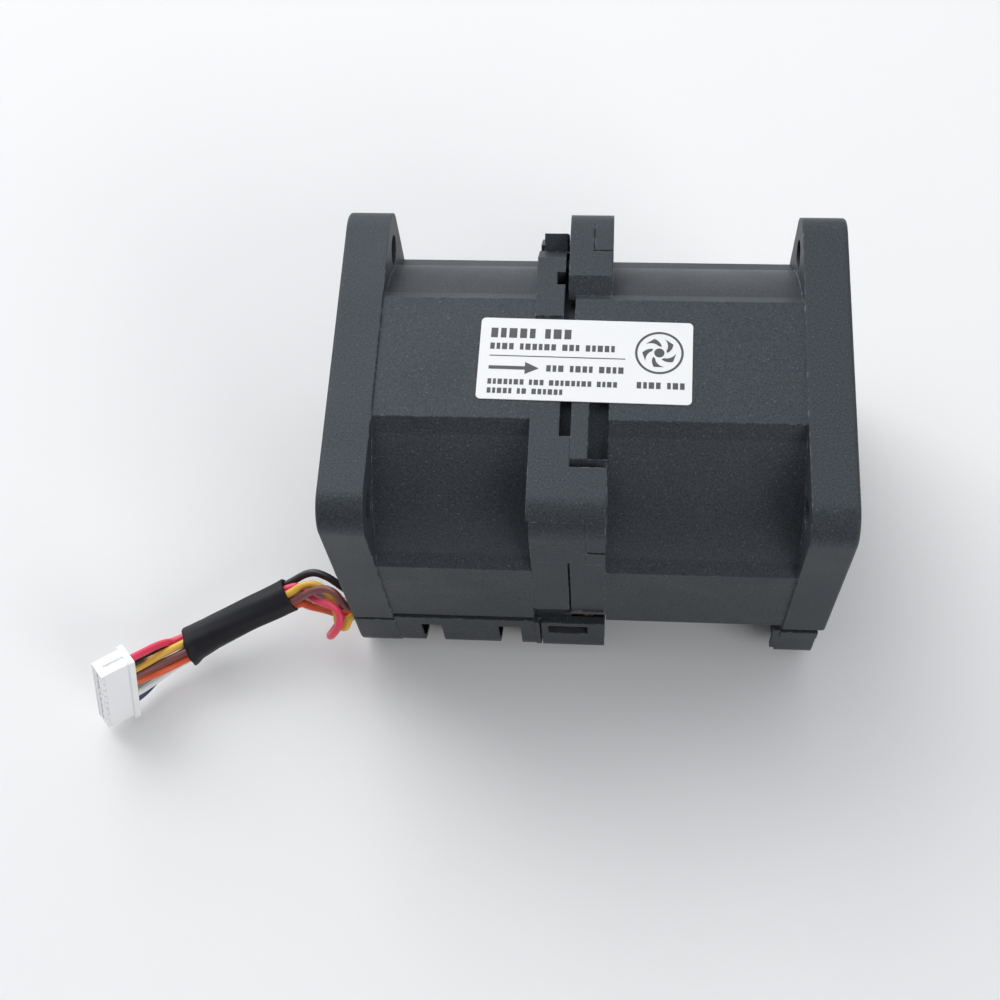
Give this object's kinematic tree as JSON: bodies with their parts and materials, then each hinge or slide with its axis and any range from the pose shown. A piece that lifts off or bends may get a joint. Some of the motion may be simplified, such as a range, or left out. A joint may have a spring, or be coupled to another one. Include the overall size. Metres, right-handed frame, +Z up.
{
  "type": "dual axial cooling fan",
  "caption": "Square dual axial cooling fan for a server: moulded frames joined end to end, counter-rotating impellers and a short wire harness ending in a flat connector.",
  "frame": {"origin": "middle of the bottom of the two joined frames, the harness left out", "axes": "+X along the air path from the wire end to the other end, +Y away from the viewer, +Z up"},
  "size_m": [0.0884, 0.0523, 0.04],
  "materials": {
    "frame_plastic": "moulded, satin, faintly speckled",
    "impeller_plastic": "moulded, satin",
    "label_film": "printed film, matte",
    "brass": "turned",
    "bearing_steel": "ground",
    "core_steel": "stamped laminations",
    "spring_steel": "plain",
    "yoke_steel": "drawn cup, plated",
    "bonded_magnet": "matte",
    "insulator_plastic": "moulded",
    "copper_wire": "enamelled winding",
    "board": "solder mask",
    "chip_plastic": "moulded",
    "ceramic": "fired",
    "lead_insulation": "extruded",
    "black_insulation": "extruded",
    "grey_insulation": "extruded",
    "white_insulation": "extruded",
    "brown_insulation": "extruded",
    "blue_insulation": "extruded",
    "orange_insulation": "extruded",
    "yellow_insulation": "extruded",
    "red_insulation": "extruded",
    "sleeve_plastic": "shrunk tube, satin",
    "connector_plastic": "moulded",
    "terminal_metal": "tin plated"
  },
  "bodies": {
    "housing": {"front_frame": "frame_plastic", "rear_frame": "frame_plastic", "label": "label_film", "front_bearing_tube": "brass", "front_bearing_outer_rings": "bearing_steel", "front_stator_core": "core_steel", "front_upper_insulator": "insulator_plastic", "front_lower_insulator": "insulator_plastic", "front_coils": "copper_wire", "front_circuit_board": "board", "front_driver_chip": "chip_plastic", "front_hall_sensor": "chip_plastic", "front_capacitors": "ceramic", "front_leads": "lead_insulation", "rear_bearing_tube": "brass", "rear_bearing_outer_rings": "bearing_steel", "rear_stator_core": "core_steel", "rear_upper_insulator": "insulator_plastic", "rear_lower_insulator": "insulator_plastic", "rear_coils": "copper_wire", "rear_circuit_board": "board", "rear_driver_chip": "chip_plastic", "rear_hall_sensor": "chip_plastic", "rear_capacitors": "ceramic", "rear_leads": "lead_insulation", "black_wire": "black_insulation", "grey_wire": "grey_insulation", "white_wire": "white_insulation", "brown_wire": "brown_insulation", "blue_wire": "blue_insulation", "orange_wire": "orange_insulation", "yellow_wire": "yellow_insulation", "red_wire": "red_insulation", "heat_shrink_sleeve": "sleeve_plastic", "connector_housing": "connector_plastic", "connector_terminals": "terminal_metal"},
    "front_rotor": {"front_impeller": "impeller_plastic", "front_rotor_yoke": "yoke_steel", "front_ring_magnet": "bonded_magnet", "front_shaft": "bearing_steel", "front_shaft_bush": "brass", "front_retaining_clip": "spring_steel", "front_preload_spring": "spring_steel", "front_bearing_inner_rings": "bearing_steel"},
    "rear_rotor": {"rear_impeller": "impeller_plastic", "rear_rotor_yoke": "yoke_steel", "rear_ring_magnet": "bonded_magnet", "rear_shaft": "bearing_steel", "rear_shaft_bush": "brass", "rear_retaining_clip": "spring_steel", "rear_preload_spring": "spring_steel", "rear_bearing_inner_rings": "bearing_steel"},
    "front_balls": {"front_bearing_balls": "bearing_steel"},
    "rear_balls": {"rear_bearing_balls": "bearing_steel"}
  },
  "joints": [
    {"name": "front_spin", "type": "hinge", "parent": "housing", "child": "front_rotor", "pos_m": [-0.015, 0, 0.02], "axis": [1, 0, 0], "continuous": true},
    {"name": "rear_spin", "type": "hinge", "parent": "housing", "child": "rear_rotor", "pos_m": [0.013, 0, 0.02], "axis": [1, 0, 0], "continuous": true},
    {"name": "front_balls_roll", "type": "hinge", "parent": "housing", "child": "front_balls", "pos_m": [-0.011, 0, 0.02], "axis": [1, 0, 0], "continuous": true},
    {"name": "rear_balls_roll", "type": "hinge", "parent": "housing", "child": "rear_balls", "pos_m": [0.007, 0, 0.02], "axis": [1, 0, 0], "continuous": true}
  ],
  "couplings": [
    {"joint": "front_balls_roll", "follows": "front_spin", "ratio": 0.38889},
    {"joint": "rear_balls_roll", "follows": "rear_spin", "ratio": 0.38889}
  ]
}
